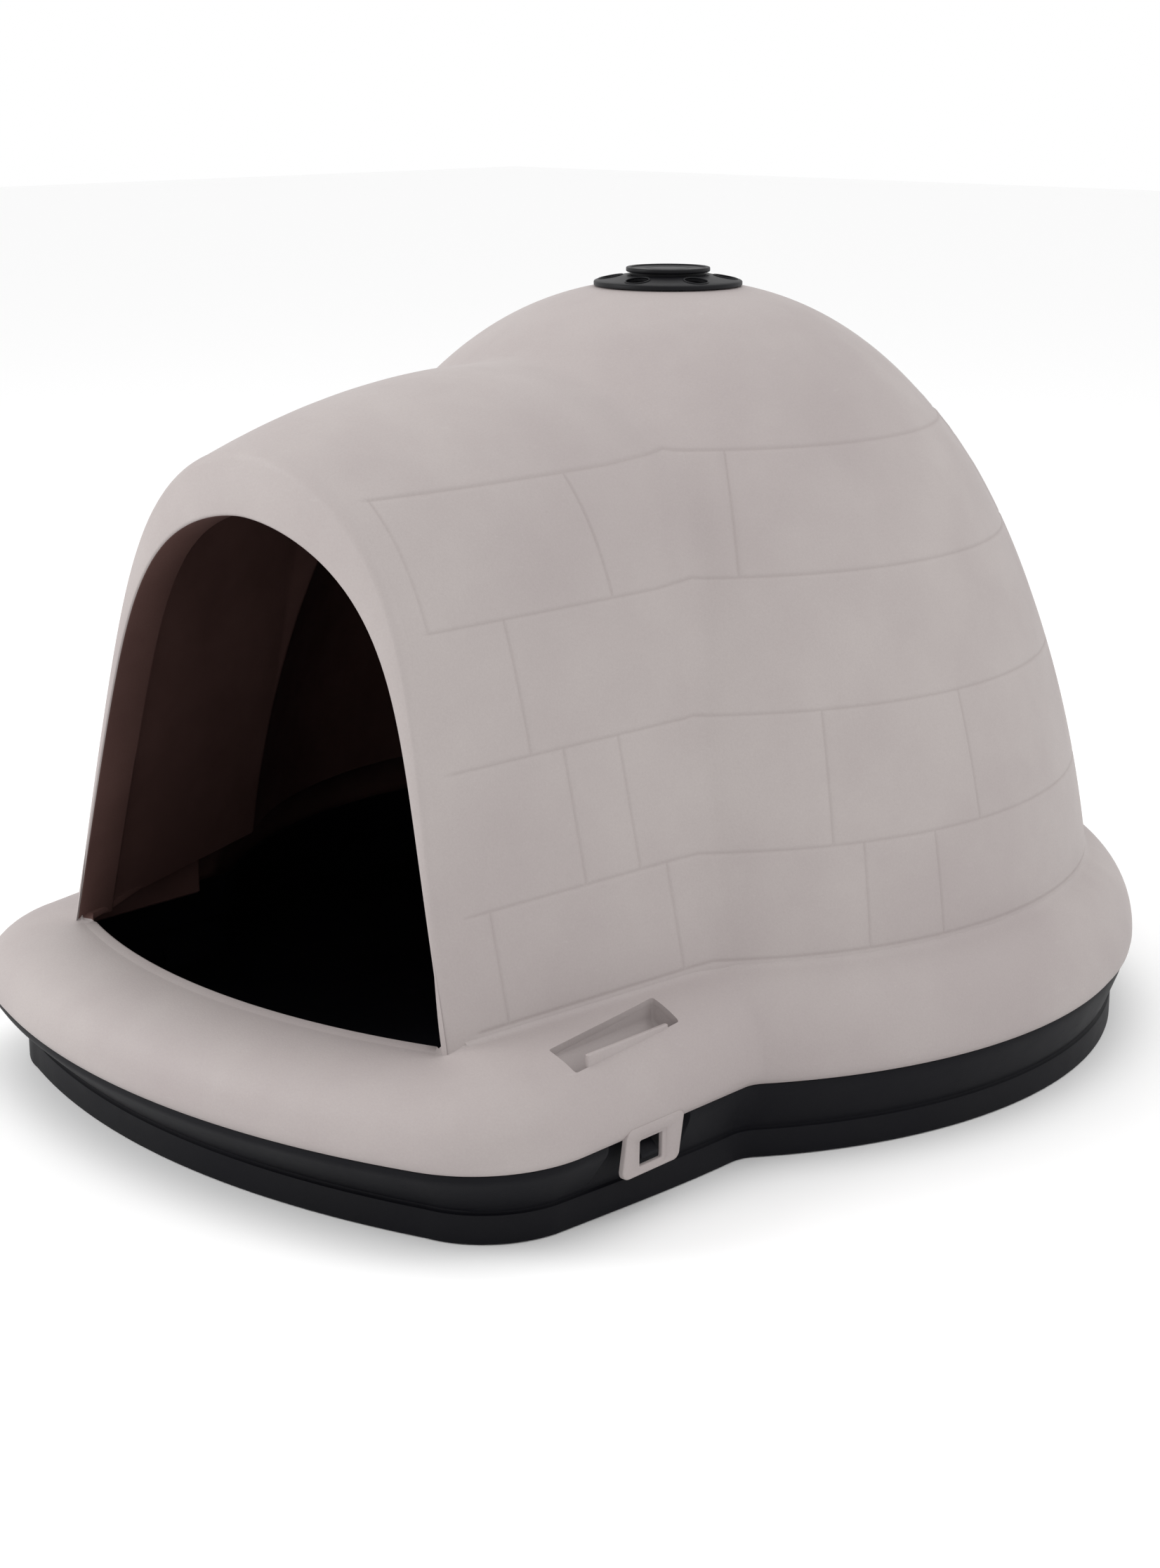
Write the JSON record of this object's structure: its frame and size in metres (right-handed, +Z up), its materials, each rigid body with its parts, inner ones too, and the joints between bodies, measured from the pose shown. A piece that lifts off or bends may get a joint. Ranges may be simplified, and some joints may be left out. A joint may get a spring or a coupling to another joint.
{
  "type": "dog igloo kennel",
  "caption": "Round plastic dog kennel with a domed shell, an arched entrance hood, a rounded skirt, a dark base tub and a round vent on the crown.",
  "frame": {"origin": "middle of the kennel's bounding box, at the underside of the base's foot ring", "axes": "+Z up, +Y along the kennel's length from the doorway to the rear, +X to the right seen from in front"},
  "size_m": [0.864, 1.049, 0.664],
  "materials": {
    "shell": "lightly textured moulded taupe plastic",
    "base_plastic": "satin moulded near-black navy plastic",
    "shell_inside": "matt dark brown inner face of the shell"
  },
  "bodies": {
    "root": {"skirt_front": "shell", "skirt_rear": "shell", "skirt_corner_right": "shell", "skirt_corner_left": "shell", "skirt_flank_right": "shell", "skirt_flank_left": "shell", "skirt_side_right": "shell", "skirt_side_left": "shell", "dome_lower_side_right": "shell", "dome_lower_side_left": "shell", "dome_lower_rear_right": "shell", "dome_lower_rear_left": "shell", "dome_upper_side_right": "shell", "dome_upper_side_left": "shell", "dome_upper_rear_right": "shell", "dome_upper_rear_left": "shell", "dome_crown": "shell", "hood_lower_wall_right": "shell", "hood_lower_wall_left": "shell", "hood_upper_wall_right": "shell", "hood_upper_wall_left": "shell", "hood_roof": "shell", "door_jamb_right": "shell", "door_jamb_left": "shell", "door_arch": "shell", "latch_tab_right": "shell", "latch_tab_left": "shell", "hand_grip_right": "shell", "hand_grip_left": "shell", "floor_cabin": "base_plastic", "floor_entrance": "base_plastic", "base_wall_front": "base_plastic", "base_wall_rear": "base_plastic", "base_wall_corner_right": "base_plastic", "base_wall_corner_left": "base_plastic", "base_wall_flank_right": "base_plastic", "base_wall_flank_left": "base_plastic", "base_wall_side_right": "base_plastic", "base_wall_side_left": "base_plastic", "latch_catch_right": "base_plastic", "latch_catch_left": "base_plastic", "vent_ring": "base_plastic", "vent_neck": "base_plastic", "vent_cap": "base_plastic"}
  },
  "joints": []
}
